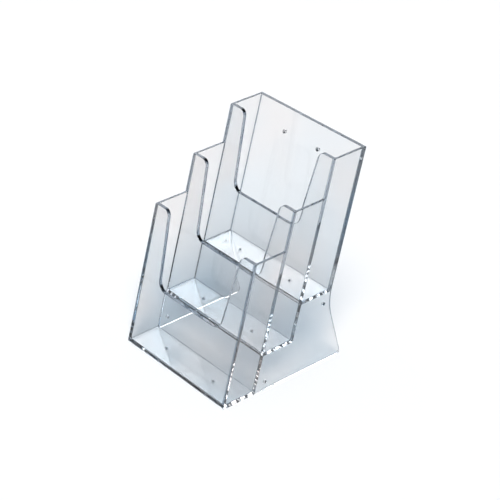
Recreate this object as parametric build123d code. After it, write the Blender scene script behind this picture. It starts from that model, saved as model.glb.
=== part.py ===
from build123d import *
import os
from math import cos, radians, tan

os.makedirs("parts", exist_ok=True)

# ---------------------------------------------------------------------------
# Three-tier countertop brochure rack in clear sheet, millimetres.
# +Z up, +X to the rack's right as a visitor faces it, +Y towards the back.
# Origin: centre of the bounding box in X and Y, on the table in Z.
# ---------------------------------------------------------------------------

# overall and sheet sizes
outer_width = 166.0        # over both side panels
sheet = 3.0                # side panels
wall_sheet = 4.0           # upright panels, middle and upper floors
base_sheet = 4.0           # lower floor
lean_deg = 15.5            # all upright panels lean back by this much
pitch = 40.654             # horizontal distance from one upright panel to the next

# levels
pocket_height = 156.0      # floor surface to the pocket's top edge, vertical
tier_step = 42.5           # each tier stands this much above the one in front
lower_floor_top = base_sheet
middle_floor_top = lower_floor_top + tier_step
upper_floor_top = middle_floor_top + tier_step
lower_top = lower_floor_top + pocket_height
middle_top = middle_floor_top + pocket_height
upper_top = upper_floor_top + pocket_height

# finger cut in the front of each pocket, measured above that pocket's floor
cut_bottom = 71.5          # straight bottom of the cut
cut_half_low = 51.6        # half width projected down to the cut's bottom
cut_half_top = 60.0        # half width projected up to the top edge
cut_low_radius = 12.0
cut_top_radius = 8.0

# holes
back_hole_d = 4.5          # screw holes for hanging, set off centre
back_hole_spacing = 53.5
back_hole_offset_x = -6.75
back_hole_z = 219.5
floor_hole_d = 3.0
floor_hole_half_spacing = 40.5
side_hole_d = 4.5          # tie holes for linking racks side by side
side_hole_rear = (139.4, 74.1)    # from the front bottom corner: back, up
side_hole_front = (58.3, 9.6)

# waisted rear edge of the side panels below the upper floor
foot_length = 165.8        # front bottom corner to rear bottom corner
foot_lean_deg = 14.6       # the foot's rear edge leans forward by this much
waist_radius = 70.0
heel_radius = 4.5

# edge finish
front_base_radius = 2.2    # bottom edge of the front panel and sides
corner_radius = 0.4         # outer rim of the side panels
edge_radius = 0.4           # polished top edges and cut edges

# ---------------------------------------------------------------------------
# derived
# ---------------------------------------------------------------------------
t = radians(lean_deg)
slope = tan(t)
depth_of_sheet = wall_sheet / cos(t)      # upright panel thickness measured along Y
inner_half = outer_width / 2 - sheet
pull = 1 / cos(t) + tan(t) - 1            # how far a rounded sharp corner draws in

y_front = front_base_radius * pull
y_rear = 3 * pitch + upper_top * slope + depth_of_sheet - edge_radius * pull
y0 = -(y_front + y_rear) / 2              # front bottom corner line in the part frame


def front_y(k, z):
    """Front face of upright panel k (0 = front panel, 3 = back panel)."""
    return y0 + k * pitch + z * slope


def rear_y(k, z):
    return front_y(k, z) + depth_of_sheet


def yz_solid(points, x_low, x_high):
    """Extrude a closed (y, z) outline from x_low to x_high."""
    wire = Polyline([(x_low, y, z) for y, z in points], close=True)
    return extrude(make_face(wire), amount=x_high - x_low, dir=(1, 0, 0))


def upright(k, z_low, z_high):
    outline = [
        (front_y(k, z_low), z_low),
        (rear_y(k, z_low), z_low),
        (rear_y(k, z_high), z_high),
        (front_y(k, z_high), z_high),
    ]
    return yz_solid(outline, -inner_half, inner_half)


def finger_cut(floor_top, top):
    """Flared U, open at the top, with its mouth rounded out to the top edge."""
    low = floor_top + cut_bottom
    flare = (cut_half_top - cut_half_low) / (top - low)
    above = 30.0
    wide = inner_half + 20.0
    outline = Plane.XZ * Polyline(
        (-wide, top + above), (-wide, top), (-cut_half_top, top),
        (-cut_half_low, low), (cut_half_low, low),
        (cut_half_top, top), (wide, top), (wide, top + above), close=True)
    face = make_face(outline)
    mouth = [v for v in face.vertices()
             if abs(v.Z - top) < 1e-6 and abs(abs(v.X) - cut_half_top) < 1e-6]
    foot = [v for v in face.vertices() if abs(v.Z - low) < 1e-6]
    face = fillet(mouth, cut_top_radius)
    foot = [v for v in face.vertices() if abs(v.Z - low) < 1e-6]
    face = fillet(foot, cut_low_radius)
    return extrude(face, amount=400.0, both=True)


def round_edges(solid, edges, radius):
    return fillet(edges, radius) if edges else solid


def free_edges(solid, k, z_from):
    """Edges on the two broad faces of upright k that follow its top and its cut."""
    found = []
    for e in solid.edges():
        m = e.position_at(0.5)
        a, b = e.position_at(0), e.position_at(1)
        if min(a.Z, b.Z, m.Z) < z_from:
            continue
        if all(abs(abs(p.X) - inner_half) < 1e-4 for p in (a, b, m)):
            continue
        on_front = all(abs(p.Y - front_y(k, p.Z)) < 1e-4 for p in (a, b, m))
        on_rear = all(abs(p.Y - rear_y(k, p.Z)) < 1e-4 for p in (a, b, m))
        if on_front or on_rear:
            found.append(e)
    return found


def save(shape, name):
    shape = shape if isinstance(shape, Solid) else shape.solids()[0]
    shape.label = name
    export_step(shape, os.path.join("parts", name + ".step"))
    return shape


# ---------------------------------------------------------------------------
# upright panels
# ---------------------------------------------------------------------------
front_panel = upright(0, 0.0, lower_top) - finger_cut(lower_floor_top, lower_top)
front_panel = round_edges(front_panel, free_edges(front_panel, 0, 20.0), edge_radius)
toe = [e for e in front_panel.edges()
       if abs(e.position_at(0.5).Z) < 1e-5 and abs(e.position_at(0.5).Y - y0) < 1e-4]
front_panel = fillet(toe, front_base_radius)
save(front_panel, "front_panel")

lower_divider = upright(1, 0.0, middle_top) - finger_cut(middle_floor_top, middle_top)
lower_divider = round_edges(lower_divider, free_edges(lower_divider, 1, 20.0), edge_radius)
save(lower_divider, "lower_divider")

upper_divider = upright(2, middle_floor_top - wall_sheet, upper_top) - finger_cut(upper_floor_top, upper_top)
upper_divider = round_edges(upper_divider, free_edges(upper_divider, 2, middle_floor_top + 20.0), edge_radius)
save(upper_divider, "upper_divider")

back_panel = upright(3, upper_floor_top - wall_sheet, upper_top)
back_panel = round_edges(back_panel, free_edges(back_panel, 3, upper_floor_top + 20.0), edge_radius)
for sx in (-0.5, 0.5):
    x = back_hole_offset_x + sx * back_hole_spacing
    y = front_y(3, back_hole_z) + depth_of_sheet / 2
    drill = Plane(origin=(x, y, back_hole_z), x_dir=(1, 0, 0), z_dir=(0, cos(t), -cos(t) * slope)) \
        * Cylinder(back_hole_d / 2, 20.0)
    back_panel = back_panel - drill
save(back_panel, "back_panel")


# ---------------------------------------------------------------------------
# floors, each wedged between two uprights
# ---------------------------------------------------------------------------
def pocket_floor(k, top, thickness):
    low = top - thickness
    outline = [
        (rear_y(k, low), low),
        (front_y(k + 1, low), low),
        (front_y(k + 1, top), top),
        (rear_y(k, top), top),
    ]
    body = yz_solid(outline, -inner_half, inner_half)
    middle = (rear_y(k, top) + front_y(k + 1, top)) / 2
    for sx in (-1, 1):
        drill = Pos(sx * floor_hole_half_spacing, middle, top) * Cylinder(floor_hole_d / 2, 30.0)
        body = body - drill
    return body


save(pocket_floor(0, lower_floor_top, base_sheet), "lower_floor")
save(pocket_floor(1, middle_floor_top, wall_sheet), "middle_floor")
save(pocket_floor(2, upper_floor_top, wall_sheet), "upper_floor")


# ---------------------------------------------------------------------------
# side panels: one flat sheet each, stepped in front and waisted at the back
# ---------------------------------------------------------------------------
def side_outline():
    foot_y = y0 + foot_length
    foot_slope = tan(radians(foot_lean_deg))
    # meeting point of the back panel's rear face line and the foot's rear edge line
    waist_z = (foot_length - 3 * pitch - depth_of_sheet) / (slope + foot_slope)
    points = [
        (y0, 0.0),
        (front_y(0, lower_top), lower_top),
        (front_y(1, lower_top), lower_top),
        (front_y(1, middle_top), middle_top),
        (front_y(2, middle_top), middle_top),
        (front_y(2, upper_top), upper_top),
        (rear_y(3, upper_top), upper_top),
        (foot_y - waist_z * foot_slope, waist_z),
        (foot_y, 0.0),
    ]
    radii = {0: front_base_radius, 1: edge_radius, 3: edge_radius, 5: edge_radius,
             6: edge_radius, 7: waist_radius, 8: heel_radius}
    return points, radii


def side_panel(x_low, x_high):
    points, radii = side_outline()
    face = make_face(Polyline([(x_low, y, z) for y, z in points], close=True))
    for i, r in radii.items():
        y, z = points[i]
        v = [v for v in face.vertices() if abs(v.Y - y) < 1e-5 and abs(v.Z - z) < 1e-5]
        face = fillet(v, r)
    body = extrude(face, amount=x_high - x_low, dir=(1, 0, 0))
    for y, z in (side_hole_rear, side_hole_front):
        drill = Plane(origin=((x_low + x_high) / 2, y0 + y, z), z_dir=(1, 0, 0)) \
            * Cylinder(side_hole_d / 2, 20.0)
        body = body - drill
    return body


def outer_edges(body, outer_x):
    return [e for e in body.edges() if not e.is_closed
            and all(abs(e.position_at(u).X - outer_x) < 1e-5 for u in (0, 0.3, 0.7, 1))]


for name, x_low, x_high, outer_x in (
        ("left_side_panel", -outer_width / 2, -inner_half, -outer_width / 2),
        ("right_side_panel", inner_half, outer_width / 2, outer_width / 2)):
    body = side_panel(x_low, x_high)
    body = fillet(outer_edges(body, outer_x), corner_radius)
    save(body, name)
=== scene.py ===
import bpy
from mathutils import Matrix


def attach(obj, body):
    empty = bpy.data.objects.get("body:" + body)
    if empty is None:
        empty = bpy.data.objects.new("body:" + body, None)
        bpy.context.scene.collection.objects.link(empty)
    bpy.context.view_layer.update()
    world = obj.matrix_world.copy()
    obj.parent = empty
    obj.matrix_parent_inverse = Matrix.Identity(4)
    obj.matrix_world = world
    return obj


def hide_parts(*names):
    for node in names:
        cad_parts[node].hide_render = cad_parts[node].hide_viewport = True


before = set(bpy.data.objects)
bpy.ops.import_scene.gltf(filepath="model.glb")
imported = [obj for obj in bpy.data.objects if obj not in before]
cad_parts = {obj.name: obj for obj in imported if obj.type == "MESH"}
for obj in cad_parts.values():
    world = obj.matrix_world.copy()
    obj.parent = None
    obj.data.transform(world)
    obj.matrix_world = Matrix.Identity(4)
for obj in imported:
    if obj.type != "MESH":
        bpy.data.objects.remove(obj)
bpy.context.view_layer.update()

from math import acos, atan2, cos, hypot, pi, radians, sin, sqrt, tan

import bpy
from mathutils import Matrix, Vector
from mathutils.geometry import delaunay_2d_cdt

# ---------------------------------------------------------------------------
# dimensions, millimetres, in the CAD frame
# ---------------------------------------------------------------------------
WIDTH, SHEET, WALL, BASE = 166.0, 3.0, 4.0, 4.0
LEAN = radians(15.5)
PITCH, POCKET, STEP = 40.654, 156.0, 42.5
Z = [BASE, BASE + STEP, BASE + 2 * STEP]            # floor surfaces
H = [z + POCKET for z in Z]                         # pocket tops
CUT_BOTTOM, CUT_LOW, CUT_TOP = 71.5, 51.6, 60.0
CUT_R_LOW, CUT_R_TOP = 12.0, 8.0
TOE_R, RIM_R, EDGE_R = 2.2, 0.4, 0.4
SHADE_LINE, SHADE_LINE_LOW = 0.9, 0.6   # painted shade: widths of the dark lines painted along the upright and the level inside corners
FOOT, FOOT_LEAN, WAIST_R, HEEL_R = 165.8, radians(14.6), 70.0, 4.5
BACK_HOLE = (2.25, 53.5, -6.75, 219.5)
FLOOR_HOLE = (1.5, 40.5)
SIDE_HOLE = (2.25, ((139.4, 74.1), (58.3, 9.6)))

SLOPE = tan(LEAN)
DY = WALL / cos(LEAN)
XI = WIDTH / 2 - SHEET
XO = WIDTH / 2
PULL = 1 / cos(LEAN) + tan(LEAN) - 1
Y0 = -(TOE_R * PULL + 3 * PITCH + H[2] * SLOPE + DY - EDGE_R * PULL) / 2


def F(k, z):
    return Y0 + k * PITCH + z * SLOPE


def B(k, z):
    return F(k, z) + DY


# ---------------------------------------------------------------------------
# outlines: closed 2-D paths whose every station knows how to move inwards
# ---------------------------------------------------------------------------
class Station:
    def __init__(self, p, n0, n1, inset):
        self.p, self.n0, self.n1, self.inset = p, n0, n1, inset
        self.slide = None       # the way a rounding moves along a bonded end
        self.ra = self.rb = 0.0
        self.bond = False       # the edge that leaves this station is a bonded one
        self.edge = 0           # material slot of the rim that leaves this station


def unit(v):
    return v / v.length


def outline(corners, marks=()):
    """corners: (u, v, radius, segments), counter-clockwise. marks: (edge number, u, v) points on straight edges."""
    n = len(corners)
    P = [Vector(c[:2]) for c in corners]
    d = [unit(P[(i + 1) % n] - P[i]) for i in range(n)]
    nin = [Vector((-e.y, e.x)) for e in d]              # inward for counter-clockwise
    out = []
    for i in range(n):
        r, seg = corners[i][2], corners[i][3]
        a, b = nin[i - 1], nin[i]
        turn = d[i - 1].x * d[i].y - d[i - 1].y * d[i].x
        dot = max(-1.0, min(1.0, d[i - 1].dot(d[i])))
        angle = acos(dot)
        mitre = (a + b) / (1 + a.dot(b))
        if r <= 0 or angle < 1e-4:
            p = P[i].copy()
            out.append((i, Station(p, a, b, (lambda t, p=p, m=mitre: p + m * t))))
        else:
            T = r * tan(angle / 2)
            sgn = 1.0 if turn > 0 else -1.0
            c = P[i] - d[i - 1] * T + a * (r * sgn)
            u0, u1 = -a * sgn, -b * sgn                 # from centre to the arc's ends
            far = (P[i] - c) / r
            for j in range(seg + 1):
                th = angle * j / seg * sgn
                u = Vector((u0.x * cos(th) - u0.y * sin(th), u0.x * sin(th) + u0.y * cos(th)))
                if j == seg:
                    u = u1.copy()
                nn = -u * sgn
                if sgn > 0:
                    def ins(t, c=c, r=r, u=u, far=far):
                        return c + (u if t < r else far) * (r - t)
                else:
                    def ins(t, c=c, r=r, u=u, far=far):
                        return c + u * (r + t)
                out.append((i, Station(c + u * r, nn, nn, ins)))
        here = [m for m in marks if m[0] == i]
        here.sort(key=lambda m: (Vector(m[1:3]) - P[i]).dot(d[i]))
        for m in here:
            p = Vector(m[1:3])
            out.append((i, Station(p, b, b, (lambda t, p=p, m=b: p + m * t))))
    return out


def circle(u, v, r, seg=40, edge=0):
    """A hole: clockwise, so that inwards, into the sheet, is away from the centre."""
    c = Vector((u, v))
    out = []
    for j in range(seg):
        th = -2 * pi * j / seg
        e = Vector((cos(th), sin(th)))
        out.append(Station(c + e * r, e, e, (lambda t, c=c, r=r, e=e: c + e * (r + t))))
        out[-1].edge = edge
    return out


# ---------------------------------------------------------------------------
# plates: a flat sheet between two outlines, with rounded rims
# ---------------------------------------------------------------------------
class Skin:
    """Vertices shared by position, and faces with a normal at each corner."""

    def __init__(self):
        self.verts, self.cells, self.faces = [], {}, []

    def vid(self, p):
        key = tuple(int(round(c * 50)) for c in p)
        for dx in (-1, 0, 1):
            for dy in (-1, 0, 1):
                for dz in (-1, 0, 1):
                    for i in self.cells.get((key[0] + dx, key[1] + dy, key[2] + dz), ()):
                        if (self.verts[i] - p).length < 2e-3:
                            return i
        self.verts.append(p.copy())
        self.cells.setdefault(key, []).append(len(self.verts) - 1)
        return len(self.verts) - 1

    def face(self, points, normals, slot):
        ids, ns = [], []
        for p, n in zip(points, normals):
            i = self.vid(p)
            if i not in ids:
                ids.append(i)
                ns.append(n)
        if len(ids) < 3:
            return
        q = [self.verts[i] for i in ids]
        g = Vector((0, 0, 0))
        for i in range(1, len(q) - 1):
            g += (q[i] - q[0]).cross(q[i + 1] - q[0])
        if g.length < 1e-9:
            return
        mean = Vector((0, 0, 0))
        for n in ns:
            mean += n
        if g.dot(mean) < 0:
            ids.reverse()
            ns.reverse()
        self.faces.append((ids, ns, slot))


def arc_points(R, theta, seg):
    """Rounding of an edge whose two sides meet at theta: (inset, depth, normal along, normal across) per step."""
    if R <= 0:
        return [(0.0, 0.0, None)] * (seg + 1)
    T = R / tan(theta / 2)
    C = (T, R)
    sweep = pi - theta
    pts = []
    for j in range(seg + 1):
        al = -pi / 2 - sweep * j / seg
        nx, ny = cos(al), sin(al)
        x, y = C[0] + R * nx, C[1] + R * ny
        yy = y / sin(theta)
        pts.append((x - yy * cos(theta), yy, (nx, ny)))
    return pts


def inside(poly, q):
    hit, n = False, len(poly)
    for i in range(n):
        a, b = poly[i], poly[(i + 1) % n]
        if (a.y > q.y) != (b.y > q.y):
            if q.x < (b.x - a.x) * (q.y - a.y) / (b.y - a.y) + a.x:
                hit = not hit
    return hit


def plate(name, map_a, shear, loops, prints_a=(), prints_b=(), seg_a=4, seg_b=4, shade_lines_a=(), shade_lines_b=()):
    """map_a turns (u, v) into a point on face A, and face B is that plus shear. loops: (stations, shift on B)."""
    skin = Skin()
    o, eu, ev = map_a(0, 0), map_a(1, 0) - map_a(0, 0), map_a(0, 1) - map_a(0, 0)
    NA = unit(eu.cross(ev))
    if NA.dot(shear) > 0:
        NA = -NA
    NB = -NA
    flat = {}
    rings_of = []
    for li, (stations, shift) in enumerate(loops):
        S = [s for _, s in stations] if isinstance(stations[0], tuple) else stations
        rings = []
        for s in S:
            a3 = unit(eu * (s.n0.x + s.n1.x) + ev * (s.n0.y + s.n1.y))
            if s.slide is not None:
                a3 = unit(eu * s.slide.x + ev * s.slide.y)
            D = shear + eu * shift.x + ev * shift.y
            L, Dh = D.length, unit(D)
            th_a = acos(max(-1, min(1, a3.dot(Dh))))
            th_b = pi - th_a
            ring = []
            pa, pb = arc_points(s.ra, th_a, seg_a), arc_points(s.rb, th_b, seg_b)
            for x, y, nn in pa:
                q = s.inset(x)
                ring.append(map_a(q.x, q.y) + Dh * y)
            for x, y, nn in reversed(pb):
                q = s.inset(x) + shift
                ring.append(map_a(q.x, q.y) + shear - Dh * y)
            rings.append((ring, pa, pb, Dh))
        rings_of.append((S, rings))
        n = len(S)
        flat[li] = ([s.inset(arc[1][0][0]) for s, arc in zip(S, rings)],
                    [s.inset(arc[2][0][0]) + shift for s, arc in zip(S, rings)])
        for i in range(n):
            s, t = S[i], S[(i + 1) % n]
            (r0, pa0, pb0, Dh), (r1, pa1, pb1, _) = rings[i], rings[(i + 1) % n]
            a0 = unit(eu * s.n1.x + ev * s.n1.y)
            a1 = unit(eu * t.n0.x + ev * t.n0.y)

            def normal(a3, arc, j, side):
                # outward normal on the rounding between a flat face and the rim
                d = Dh if side == 0 else -Dh
                b3 = unit(d - a3 * a3.dot(d))
                if arc[j][2] is None:
                    return None
                nx, ny = arc[j][2]
                return unit(a3 * nx + b3 * ny)

            def rim(a3):
                return unit(-(a3 - Dh * a3.dot(Dh)))

            na, nb = len(pa0) - 1, len(pb0) - 1
            slot = 1 if s.bond else s.edge
            total = na + nb + 2
            for j in range(total - 1):
                quad = [r0[j], r1[j], r1[j + 1], r0[j + 1]]
                ns = []
                for a3, arc_a, arc_b, jj in ((a0, pa0, pb0, j), (a1, pa1, pb1, j),
                                             (a1, pa1, pb1, j + 1), (a0, pa0, pb0, j + 1)):
                    if slot == 1 or j == na:
                        nn = rim(a3)
                    elif jj <= na:
                        nn = normal(a3, arc_a, jj, 0)
                    else:
                        nn = normal(a3, arc_b, total - 1 - jj, 1)
                    ns.append(nn if nn is not None else rim(a3))
                skin.face(quad, ns, slot)
    for side, prints, shade_lines in ((0, prints_a, shade_lines_a), (1, prints_b, shade_lines_b)):
        verts, edges = [], []
        polys = []
        for li in flat:
            pts = flat[li][side]
            base = len(verts)
            verts += pts
            edges += [(base + i, base + (i + 1) % len(pts)) for i in range(len(pts))]
            polys.append(pts)
        for pr in (*prints, *shade_lines):
            base = len(verts)
            verts += [Vector(q) for q in pr]
            edges += [(base + i, base + (i + 1) % len(pr)) for i in range(len(pr))]
        ov, oe, of_, _, _, _ = delaunay_2d_cdt(verts, edges, [], 0, 5e-4)
        N = NA if side == 0 else NB
        for tri in of_:
            q = [ov[i] for i in tri]
            c = (q[0] + q[1] + q[2]) / 3
            if not inside(polys[0], c) or any(inside(p, c) for p in polys[1:]):
                continue
            # slot 3 is painted shade: a dark tint on the strips along the inside corners
            slot = 1 if any(inside([Vector(w) for w in pr], c) for pr in prints) else (
                3 if any(inside([Vector(w) for w in pr], c) for pr in shade_lines) else 0)
            pts = [map_a(w.x, w.y) + (shear if side else Vector((0, 0, 0))) for w in q]
            skin.face(pts, [N] * 3, slot)
    return skin, rings_of


def build(name, skin, node):
    mesh = bpy.data.meshes.new(name)
    mesh.from_pydata([v * 0.001 for v in skin.verts], [], [f[0] for f in skin.faces])
    for m in SLOTS:
        mesh.materials.append(m)
    for poly, f in zip(mesh.polygons, skin.faces):
        poly.material_index = f[2]
        poly.use_smooth = True
    normals = []
    for poly, f in zip(mesh.polygons, skin.faces):
        byv = dict(zip(f[0], f[1]))
        for li in poly.loop_indices:
            normals.append(tuple(byv[mesh.loops[li].vertex_index]))
    mesh.normals_split_custom_set(normals)
    mesh.update()
    count = {}
    for ids, _, _ in skin.faces:
        for i in range(len(ids)):
            e = tuple(sorted((ids[i], ids[(i + 1) % len(ids)])))
            count[e] = count.get(e, 0) + 1
    loose = [e for e, c in count.items() if c != 2]
    print("PIECE", name, "verts", len(skin.verts), "faces", len(skin.faces), "open edges", len(loose))
    for e in loose[:14]:
        print("   open", [round(c, 3) for c in skin.verts[e[0]]], [round(c, 3) for c in skin.verts[e[1]]], count[e])
    ob = bpy.data.objects.new(name, mesh)
    bpy.context.scene.collection.objects.link(ob)
    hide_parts(node)
    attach(ob, "root")
    return ob


# ---------------------------------------------------------------------------
# materials
# ---------------------------------------------------------------------------
def new_material(name):
    mat = bpy.data.materials.new(name)
    mat.use_nodes = True
    nt = mat.node_tree
    nt.nodes.clear()
    return mat, nt, nt.nodes.new("ShaderNodeOutputMaterial")


def clear_plastic(name, cool, warm, through):
    mat, nt, out = new_material(name)
    L = nt.links.new
    where = nt.nodes.new("ShaderNodeTexCoord")
    # faint pink and blue flow tints of moulded or cast clear sheet
    flow = nt.nodes.new("ShaderNodeTexNoise")
    flow.inputs["Scale"].default_value = 9.0
    flow.inputs["Detail"].default_value = 2.0
    flow.inputs["Roughness"].default_value = 0.45
    L(where.outputs["Object"], flow.inputs["Vector"])
    tint = nt.nodes.new("ShaderNodeValToRGB")
    tint.color_ramp.elements[0].position = 0.36
    tint.color_ramp.elements[0].color = (*cool, 1)
    tint.color_ramp.elements[1].position = 0.64
    tint.color_ramp.elements[1].color = (*warm, 1)
    L(flow.outputs["Fac"], tint.inputs["Fac"])
    glass = nt.nodes.new("ShaderNodeBsdfGlass")
    glass.inputs["IOR"].default_value = 1.50
    L(tint.outputs["Color"], glass.inputs["Color"])
    # handling haze: a trace of roughness in soft patches
    haze = nt.nodes.new("ShaderNodeTexNoise")
    haze.inputs["Scale"].default_value = 60.0
    haze.inputs["Detail"].default_value = 4.0
    L(where.outputs["Object"], haze.inputs["Vector"])
    hz = nt.nodes.new("ShaderNodeMapRange")
    hz.inputs["From Min"].default_value = 0.35
    hz.inputs["From Max"].default_value = 0.75
    hz.inputs["To Min"].default_value = 0.0
    hz.inputs["To Max"].default_value = 0.008
    L(haze.outputs["Fac"], hz.inputs["Value"])
    L(hz.outputs["Result"], glass.inputs["Roughness"])
    # gentle waviness of the sheet
    wave = nt.nodes.new("ShaderNodeTexNoise")
    wave.inputs["Scale"].default_value = 22.0
    wave.inputs["Detail"].default_value = 1.0
    L(where.outputs["Object"], wave.inputs["Vector"])
    bump = nt.nodes.new("ShaderNodeBump")
    bump.inputs["Strength"].default_value = 0.12
    bump.inputs["Distance"].default_value = 0.00012
    L(wave.outputs["Fac"], bump.inputs["Height"])
    L(bump.outputs["Normal"], glass.inputs["Normal"])
    # lamps and floor light pass straight through
    thru = nt.nodes.new("ShaderNodeBsdfTransparent")
    thru.inputs["Color"].default_value = (*through, 1)
    path = nt.nodes.new("ShaderNodeLightPath")
    either = nt.nodes.new("ShaderNodeMath")
    either.operation = "MAXIMUM"
    L(path.outputs["Is Shadow Ray"], either.inputs[0])
    L(path.outputs["Is Diffuse Ray"], either.inputs[1])
    mix = nt.nodes.new("ShaderNodeMixShader")
    L(either.outputs[0], mix.inputs["Fac"])
    L(glass.outputs["BSDF"], mix.inputs[1])
    L(thru.outputs["BSDF"], mix.inputs[2])
    L(mix.outputs["Shader"], out.inputs["Surface"])
    return mat


def bonded_joint():
    """Where two pieces are solvent bonded there is no air between them, so light goes on unbent."""
    mat, nt, out = new_material("bonded_joint")
    thru = nt.nodes.new("ShaderNodeBsdfTransparent")
    nt.links.new(thru.outputs["BSDF"], out.inputs["Surface"])
    return mat


SLOTS = (clear_plastic("clear_plastic", (0.916, 0.934, 0.946), (0.948, 0.938, 0.934), (0.834, 0.866, 0.889)),
         bonded_joint(),
         # slot 2: painted shade, a much darker tint on the free rims standing in for the dark look of lit clear edges
         clear_plastic("clear_plastic_edge_painted_shade", (0.50, 0.555, 0.615), (0.56, 0.60, 0.65), (0.78, 0.80, 0.82)),
         # slot 3: painted shade, a dark tint standing in for the shade seen along the inside corners
         clear_plastic("clear_plastic_painted_shade_line", (0.26, 0.31, 0.36), (0.32, 0.36, 0.40), (0.70, 0.72, 0.74)))

# ---------------------------------------------------------------------------
# upright panels: (u, v) = (x, distance up the panel)
# ---------------------------------------------------------------------------
UP = Vector((0, sin(LEAN), cos(LEAN)))


def wall_map(k):
    def m(u, v):
        return Vector((u, Y0 + k * PITCH + v * sin(LEAN), v * cos(LEAN)))
    return m


def s_of(z):
    return z / cos(LEAN)


ZERO2 = Vector((0.0, 0.0))
ends = {}


def upright(name, k, low, top, floor_top, strips_a, strips_b, toe=0.0, low_a=0.0, low_b=0.0, cut=True, holes=(),
            shade_lines=()):
    s0, s1 = s_of(low), s_of(top)
    seg = 16
    corners = [(-XI, s0, 0, 0), (XI, s0, 0, 0), (XI, s1, 0, 0)]
    if cut:
        sl = s_of(floor_top + CUT_BOTTOM)
        corners += [(CUT_TOP, s1, CUT_R_TOP, seg), (CUT_LOW, sl, CUT_R_LOW, seg),
                    (-CUT_LOW, sl, CUT_R_LOW, seg), (-CUT_TOP, s1, CUT_R_TOP, seg)]
    corners += [(-XI, s1, 0, 0)]
    last = len(corners) - 1
    marks = []
    lines = [(q[0], q[0] + SHADE_LINE_LOW) for q in shade_lines]
    levels = sorted({z for st in (*strips_a, *strips_b, *shade_lines, *lines) for z in st if low < z < top})
    for z in levels:
        marks += [(1, XI, s_of(z)), (last, -XI, s_of(z))]
    st = outline(corners, marks)
    for edge, s in st:
        s.bond = edge in (1, last)
        top_or_cut = edge not in (0, 1, last) or (edge == last and abs(s.p.y - s1) < 1e-3)
        # the top and cut-out rims take slot 2, the painted shade of a darker rim tint
        s.edge = 2 if edge not in (0, 1, last) else 0
        s.ra = s.rb = EDGE_R if top_or_cut else 0.0
        at_end = abs(abs(s.p.x) - XI) < 1e-3
        if at_end and abs(s.p.y - s1) < 1e-3:            # slides down the bonded end
            s.inset = (lambda t, p=s.p.copy(): p + Vector((0, -t)))
            s.slide = Vector((0, -1))
        if at_end and abs(s.p.y - s0) < 1e-3:            # slides up the bonded end
            s.ra, s.rb = (toe or low_a), low_b
            s.inset = (lambda t, p=s.p.copy(): p + Vector((0, t)))
            s.slide = Vector((0, 1))
    loops = [(st, ZERO2)]
    for u, z, r in holes:
        ring = circle(u, s_of(z), r, 48)
        for s in ring:
            s.ra = s.rb = 0.25
        loops.append((ring, Vector((0, -WALL * tan(LEAN)))))
    strip = lambda z0, z1: [(-XI, s_of(z0)), (XI, s_of(z0)), (XI, s_of(z1)), (-XI, s_of(z1))]

    # painted shade: a dark strip along each end of an upright, beside the side panel
    def shade_strip(sx, z0, z1):
        x0, x1 = sorted((sx * XI, sx * (XI - SHADE_LINE)))
        return [(x0, s_of(z0)), (x1, s_of(z0)), (x1, s_of(z1)), (x0, s_of(z1))]

    sg = 6
    skin, rings = plate(name, wall_map(k), Vector((0, DY, 0)), loops,
                        [strip(*q) for q in strips_a], [strip(*q) for q in strips_b], sg, sg,
                        shade_lines_a=[shade_strip(sx, *q) for q in shade_lines for sx in (-1, 1)] + [strip(*q) for q in lines])
    S, R = rings[0]
    for side, x in (("L", -XI), ("R", XI)):
        tl = next(r for s, r in zip(S, R) if abs(s.p.x - x) < 1e-3 and abs(s.p.y - s1) < 1e-3)
        bl = next(r for s, r in zip(S, R) if abs(s.p.x - x) < 1e-3 and abs(s.p.y - s0) < 1e-3)
        pts = [(p.y, p.z) for p in tl[0]] + [(p.y, p.z) for p in reversed(bl[0])]
        clean = []
        for p in pts:
            if not clean or hypot(p[0] - clean[-1][0], p[1] - clean[-1][1]) > 1e-3:
                clean.append(p)
        if hypot(clean[0][0] - clean[-1][0], clean[0][1] - clean[-1][1]) < 1e-3:
            clean.pop()
        ends[(name, side)] = clean
    return build(name + "_sheet", skin, name)


upright("front_panel", 0, 0.0, H[0], Z[0], (), ((0.0, BASE),), toe=TOE_R)
upright("lower_divider", 1, 0.0, H[1], Z[1], ((0.0, BASE),), ((Z[1] - WALL, Z[1]),), low_b=0.4,
        shade_lines=((Z[0], H[0]),))
upright("upper_divider", 2, Z[1] - WALL, H[2], Z[2], ((Z[1] - WALL, Z[1]),), ((Z[2] - WALL, Z[2]),), low_b=EDGE_R,
        shade_lines=((Z[1], H[1]),))
hole_r, hole_gap, hole_off, hole_z = BACK_HOLE
upright("back_panel", 3, Z[2] - WALL, H[2], Z[2], ((Z[2] - WALL, Z[2]),), (), low_b=EDGE_R, cut=False,
        shade_lines=((Z[2], H[2] - 1.0),),
        holes=[(hole_off + q * hole_gap / 2, hole_z, hole_r) for q in (-1, 1)])

# ---------------------------------------------------------------------------
# floors: (u, v) = (x, y) on the upper face
# ---------------------------------------------------------------------------
floor_ends = []


def pocket_floor(name, k, top, thick):
    def m(u, v):
        return Vector((u, v, top))
    y_a, y_b = B(k, top), F(k + 1, top)
    st = outline([(-XI, y_a, 0, 0), (XI, y_a, 0, 0), (XI, y_b, 0, 0), (-XI, y_b, 0, 0)])
    for _, s in st:
        s.bond = True
    loops = [(st, ZERO2)]
    for q in (-1, 1):
        # the hole rims take slot 2, the painted shade of a darker rim tint
        ring = circle(q * FLOOR_HOLE[1], (y_a + y_b) / 2, FLOOR_HOLE[0], 40, 2)
        for s in ring:
            s.ra = s.rb = 0.2
        loops.append((ring, Vector((0, SLOPE * thick))))
    skin, _ = plate(name, m, Vector((0, -SLOPE * thick, -thick)), loops, (), (), 3, 3)
    low = top - thick
    floor_ends.append([(B(k, low), low), (F(k + 1, low), low), (F(k + 1, top), top), (B(k, top), top)])
    return build(name + "_sheet", skin, name)


pocket_floor("lower_floor", 0, Z[0], BASE)
pocket_floor("middle_floor", 1, Z[1], WALL)
pocket_floor("upper_floor", 2, Z[2], WALL)

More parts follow.
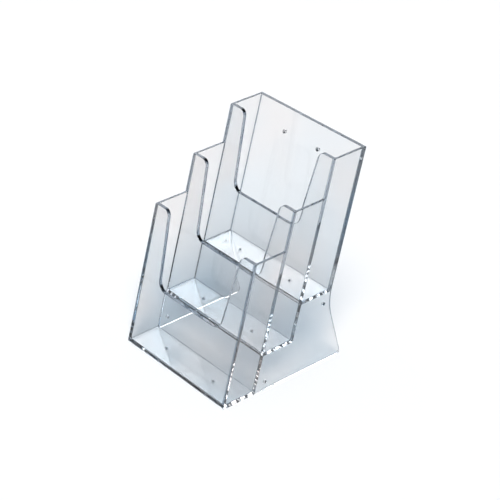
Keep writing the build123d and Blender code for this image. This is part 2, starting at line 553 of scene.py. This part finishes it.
# ---------------------------------------------------------------------------
# side panels: (u, v) = (y, z), face A outside
# ---------------------------------------------------------------------------
def side(name, sx, letter):
    seg = 6
    foot_y, fs = Y0 + FOOT, tan(FOOT_LEAN)
    wz = (FOOT - 3 * PITCH - DY) / (SLOPE + fs)
    corners = [
        (Y0, 0.0, TOE_R, seg), (foot_y, 0.0, HEEL_R, 12), (foot_y - wz * fs, wz, WAIST_R, 20),
        (B(3, H[2]), H[2], EDGE_R, seg), (F(2, H[2]), H[2], EDGE_R, seg), (F(2, H[1]), H[1], 0, 0),
        (F(1, H[1]), H[1], EDGE_R, seg), (F(1, H[0]), H[0], 0, 0), (F(0, H[0]), H[0], EDGE_R, seg)]
    prints = [ends[(w, letter)] for w in ("front_panel", "lower_divider", "upper_divider", "back_panel")] + floor_ends
    plain = [s.p for _, s in outline(corners)]
    marks = []
    n = len(corners)
    for i in range(n):
        a, b = Vector(corners[i][:2]), Vector(corners[(i + 1) % n][:2])
        d = unit(b - a)
        L = (b - a).length
        for pr in prints:
            for q in pr:
                w = Vector(q) - a
                along, off = w.dot(d), abs(w.x * d.y - w.y * d.x)
                if off < 2e-3 and 0 < along < L:
                    p = a + d * along
                    if all((p - v).length > 3e-3 for v in plain) and all(
                            (p - Vector(m[1:3])).length > 3e-3 for m in marks):
                        marks.append((i, p.x, p.y))
    # an arc replaces the ends of its edges, so drop marks that fall on those stretches
    kept = []
    for i, u, v in marks:
        a, b = Vector(corners[i][:2]), Vector(corners[(i + 1) % n][:2])
        st0 = outline(corners)
        own = [s.p for e, s in st0 if e == i]
        nxt = [s.p for e, s in st0 if e == (i + 1) % n]
        d = unit(b - a)
        lo, hi = (own[-1] - a).dot(d), (nxt[0] - a).dot(d)
        w = (Vector((u, v)) - a).dot(d)
        if lo + 3e-3 < w < hi - 3e-3:
            kept.append((i, u, v))
    # the inner rounding starts a little way past each bonded end
    for i, y, z, way in ((3, F(3, H[2]), H[2], -1), (3, B(2, H[2]), H[2], 1), (5, F(2, H[1]), H[1], -1),
                         (5, B(1, H[1]), H[1], 1), (7, F(1, H[0]), H[0], -1), (7, B(0, H[0]), H[0], 1),
                         (0, B(1, 0), 0.0, 1)):
        kept.append((i, y + way * 0.2, z))
        kept.append((i, y + way * 1.5, z))
    st = outline(corners, kept)

    def snap(w):
        """A bonded outline that runs along the rim shares the rim's own points."""
        q = Vector(w)
        best = min((s.p for _, s in st), key=lambda p: (p - q).length)
        return best if (best - q).length < 0.02 else q

    prints = [[snap(w) for w in pr] for pr in prints]

    def near(p):
        best = 1e9
        for pr in prints:
            q = [Vector(w) for w in pr]
            for i in range(len(q)):
                a, b = q[i], q[(i + 1) % len(q)]
                t = max(0, min(1, (p - a).dot(b - a) / max(1e-12, (b - a).length_squared)))
                best = min(best, (p - a - (b - a) * t).length)
        return best

    for i, s in st:
        s.ra = RIM_R
        s.rb = 0.0 if near(s.p) < 0.6 else 0.3
        # the waist, step and top rims take slot 2, the painted shade of a darker rim tint
        s.edge = 2 if i >= 2 else 0
    loops = [(st, ZERO2)]
    r, spots = SIDE_HOLE
    for y, z in spots:
        ring = circle(Y0 + y, z, r, 48)
        for s in ring:
            s.ra = s.rb = 0.25
        loops.append((ring, ZERO2))

    def m(u, v):
        return Vector((sx * XO, u, v))
    # painted shade: dark lines along the inner corners where each floor meets the side panel
    lines = [[(B(k, z), z), (F(k + 1, z), z), (F(k + 1, z + SHADE_LINE_LOW), z + SHADE_LINE_LOW), (B(k, z + SHADE_LINE_LOW), z + SHADE_LINE_LOW)]
             for k, z in enumerate(Z)]
    skin, _ = plate(name, m, Vector((-sx * SHEET, 0, 0)), loops, (), prints, 8, 3, shade_lines_b=lines)
    return build(name + "_sheet", skin, name)


side("left_side_panel", -1, "L")
side("right_side_panel", 1, "R")

# ---------------------------------------------------------------------------
# stage, light and camera
# ---------------------------------------------------------------------------
def stage_material():
    mat, nt, out = new_material("pale_floor")
    L = nt.links.new
    where = nt.nodes.new("ShaderNodeTexCoord")
    noise = nt.nodes.new("ShaderNodeTexNoise")
    noise.inputs["Scale"].default_value = 3.0
    L(where.outputs["Object"], noise.inputs["Vector"])
    ramp = nt.nodes.new("ShaderNodeValToRGB")
    ramp.color_ramp.elements[0].color = (0.84, 0.845, 0.85, 1)
    ramp.color_ramp.elements[1].color = (0.86, 0.86, 0.86, 1)
    L(noise.outputs["Fac"], ramp.inputs["Fac"])
    bsdf = nt.nodes.new("ShaderNodeBsdfDiffuse")
    L(ramp.outputs["Color"], bsdf.inputs["Color"])
    L(bsdf.outputs["BSDF"], out.inputs["Surface"])
    return mat


floor_mesh = bpy.data.meshes.new("studio_floor")
R = 30.0
rim = [(R * cos(2 * pi * i / 96), R * sin(2 * pi * i / 96), -0.0002) for i in range(96)]
floor_mesh.from_pydata(rim, [], [list(range(96))])
floor_mesh.materials.append(stage_material())
studio_floor = bpy.data.objects.new("studio_floor", floor_mesh)
bpy.context.scene.collection.objects.link(studio_floor)


def softbox(name, where, target, size_x, size_y, watts, colour=(1, 1, 1)):
    light = bpy.data.lights.new(name, "AREA")
    light.shape = "RECTANGLE"
    light.size, light.size_y = size_x, size_y
    light.energy = watts
    light.color = colour
    ob = bpy.data.objects.new(name, light)
    bpy.context.scene.collection.objects.link(ob)
    ob.location = where
    ob.rotation_mode = "QUATERNION"
    ob.rotation_quaternion = (Vector(where) - Vector(target)).to_track_quat("Z", "Y")
    return ob


sun = bpy.data.lights.new("distant_key", "SUN")
sun.energy, sun.angle, sun.color = 3.72, radians(24), (1.0, 1.0, 1.0)
key = bpy.data.objects.new("distant_key", sun)
bpy.context.scene.collection.objects.link(key)
key.location = (2.0, -1.33, 4.0)
key.rotation_mode = "QUATERNION"
key.rotation_quaternion = Vector((2.0, -1.33, 4.0)).to_track_quat("Z", "Y")
glow = softbox("rear_left", (-1.12, 0.94, 1.02), (0, 0, 0.05), 1.7, 1.35, 6.6)
glow.data.spread = radians(75)
glow.visible_diffuse = False        # seen in the plastic, without washing out the soft shadow

world = bpy.data.worlds.new("studio")
bpy.context.scene.world = world
world.use_nodes = True
wn = world.node_tree
wn.nodes.clear()
w_out = wn.nodes.new("ShaderNodeOutputWorld")
w_bg = wn.nodes.new("ShaderNodeBackground")
w_co = wn.nodes.new("ShaderNodeTexCoord")
w_sep = wn.nodes.new("ShaderNodeSeparateXYZ")
w_ramp = wn.nodes.new("ShaderNodeValToRGB")
cr = w_ramp.color_ramp
cr.elements[0].position = 0.0
cr.elements[0].color = (0.24, 0.25, 0.27, 1)
cr.elements[1].position = 1.0
cr.elements[1].color = (0.17, 0.185, 0.21, 1)
e = cr.elements.new(0.50)
e.color = (0.24, 0.25, 0.27, 1)
e = cr.elements.new(0.62)
e.color = (0.20, 0.21, 0.23, 1)
e = cr.elements.new(0.78)
e.color = (0.17, 0.185, 0.21, 1)
w_half = wn.nodes.new("ShaderNodeMapRange")
w_half.inputs["From Min"].default_value = -1.0
w_half.inputs["From Max"].default_value = 1.0
wn.links.new(w_co.outputs["Generated"], w_sep.inputs["Vector"])
wn.links.new(w_sep.outputs["Z"], w_half.inputs["Value"])
wn.links.new(w_half.outputs["Result"], w_ramp.inputs["Fac"])
wn.links.new(w_ramp.outputs["Color"], w_bg.inputs["Color"])
w_bg.inputs["Strength"].default_value = 1.0
wn.links.new(w_bg.outputs["Background"], w_out.inputs["Surface"])

cam_data = bpy.data.cameras.new("camera")
cam_data.lens = 1756.82 * 36.0 / 500.0
cam_data.sensor_width = 36.0
camera = bpy.data.objects.new("camera", cam_data)
bpy.context.scene.collection.objects.link(camera)
forward = unit(Vector((-0.6538664, 0.54783911, -0.52185346)))
right = unit(Vector((0.642306308, 0.766448023, -0.000176895534)))
right = unit(right - forward * right.dot(forward))
up = right.cross(forward)
camera.matrix_world = Matrix.Translation(Vector((1.232135058, -0.92552829 + Y0 * 0.001, 1.098592603))) @ Matrix(
    (right, up, -forward)).transposed().to_4x4()
cam_data.clip_start, cam_data.clip_end = 0.05, 50.0
scene = bpy.context.scene
scene.camera = camera
scene.view_settings.view_transform = "Standard"
scene.view_settings.look = "None"
scene.cycles.max_bounces = 64
scene.cycles.glossy_bounces = 64
scene.cycles.transmission_bounces = 64
scene.cycles.transparent_max_bounces = 96
scene.cycles.diffuse_bounces = 3
